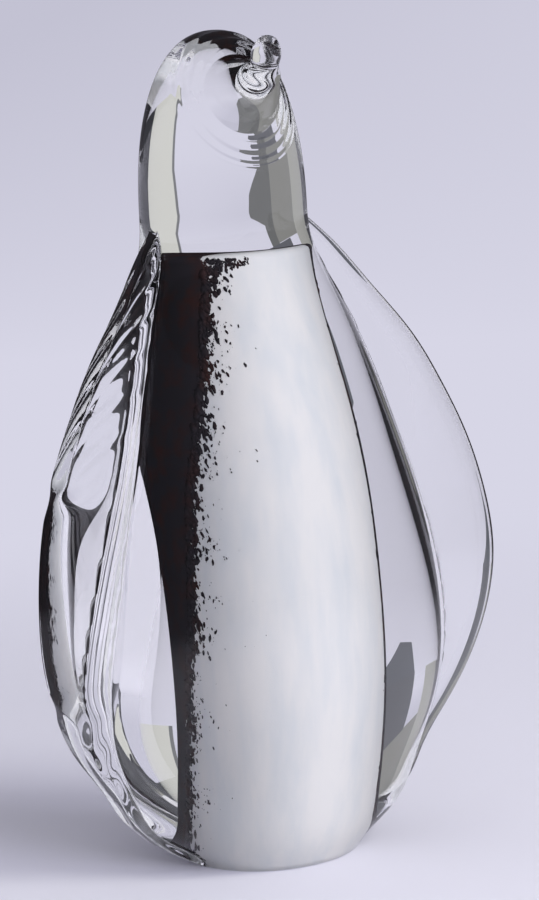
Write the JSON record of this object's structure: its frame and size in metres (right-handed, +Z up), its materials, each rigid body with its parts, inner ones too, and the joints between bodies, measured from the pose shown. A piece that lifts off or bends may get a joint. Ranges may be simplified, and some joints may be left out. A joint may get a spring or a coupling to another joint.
{
  "type": "penguin figurine",
  "caption": "Solid hot-worked glass penguin with an opal white core, dark back, clear casing, clear wings and an upturned beak.",
  "frame": {"origin": "middle of the flat ground foot that the figurine stands on", "axes": "+Z up from foot to crown, -Y the way the belly and the beak face, +X the penguin's left side"},
  "size_m": [0.135, 0.0738, 0.2175],
  "materials": {
    "clear_crystal": "fire-polished clear crystal",
    "opal_glass": "dense opal white glass, sealed inside the casing",
    "dark_glass": "near-black crushed glass, fused"
  },
  "bodies": {
    "root": {"clear_casing": "clear_crystal", "clear_head": "clear_crystal", "beak": "clear_crystal", "right_wing": "clear_crystal", "left_wing": "clear_crystal", "opal_core": "opal_glass", "dark_back_coat": "dark_glass", "right_edge_grains": "dark_glass", "left_edge_grains": "dark_glass", "crown_edge_grains": "dark_glass"}
  },
  "joints": []
}
